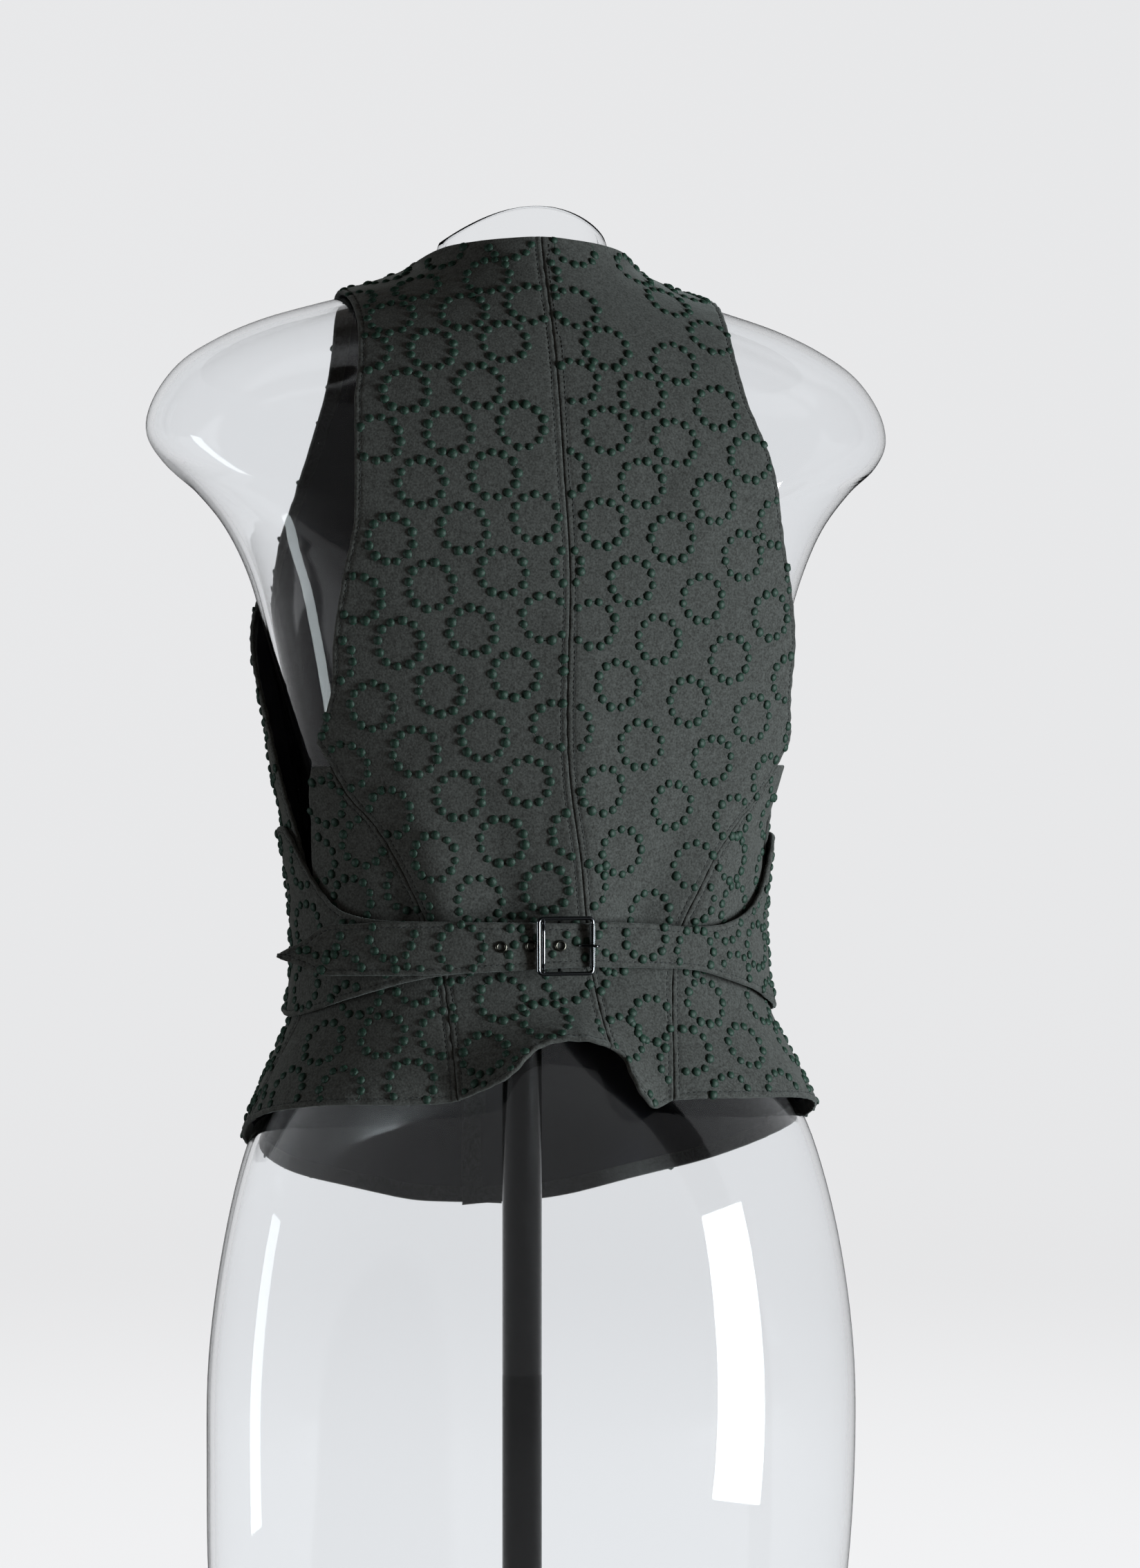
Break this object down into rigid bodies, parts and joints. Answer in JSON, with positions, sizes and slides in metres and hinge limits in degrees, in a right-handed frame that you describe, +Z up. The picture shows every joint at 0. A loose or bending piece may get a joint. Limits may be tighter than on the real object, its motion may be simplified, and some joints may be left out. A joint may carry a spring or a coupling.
{
  "type": "felted wool waistcoat with a back belt on a clear dress form with a stand",
  "caption": "Sleeveless waistcoat with a short waved peplum and a buckled back belt, worn by a clear limbless dress form on a pole and round base.",
  "frame": {"origin": "centre of the underside of the stand's base", "axes": "+Z up, the wearer faces -Y, so the garment's back is at +Y and the wearer's left at +X"},
  "size_m": [0.4182, 0.3, 0.975],
  "materials": {
    "wool": "felted, matte",
    "gunmetal": "dark plated",
    "antique_brass": "dark, worn",
    "horn_button": "satin",
    "clear_plastic": "clear, polished",
    "black_enamel": "gloss"
  },
  "bodies": {
    "root": {"back_centre_left": "wool", "back_centre_right": "wool", "back_side_left": "wool", "back_side_right": "wool", "front_left": "wool", "front_right": "wool", "belt_left": "wool", "belt_right": "wool", "buckle_frame": "gunmetal", "buckle_coil": "gunmetal", "buckle_keeper_bar": "gunmetal", "buckle_pivot_bar": "gunmetal", "buckle_prong": "gunmetal", "eyelet_1": "antique_brass", "eyelet_2": "antique_brass", "eyelet_3": "antique_brass", "button_1": "horn_button", "button_2": "horn_button", "button_3": "horn_button", "button_4": "horn_button", "button_5": "horn_button", "dress_form_back": "clear_plastic", "dress_form_front": "clear_plastic", "form_pole": "black_enamel", "form_collar": "black_enamel", "form_base": "black_enamel"}
  },
  "joints": []
}
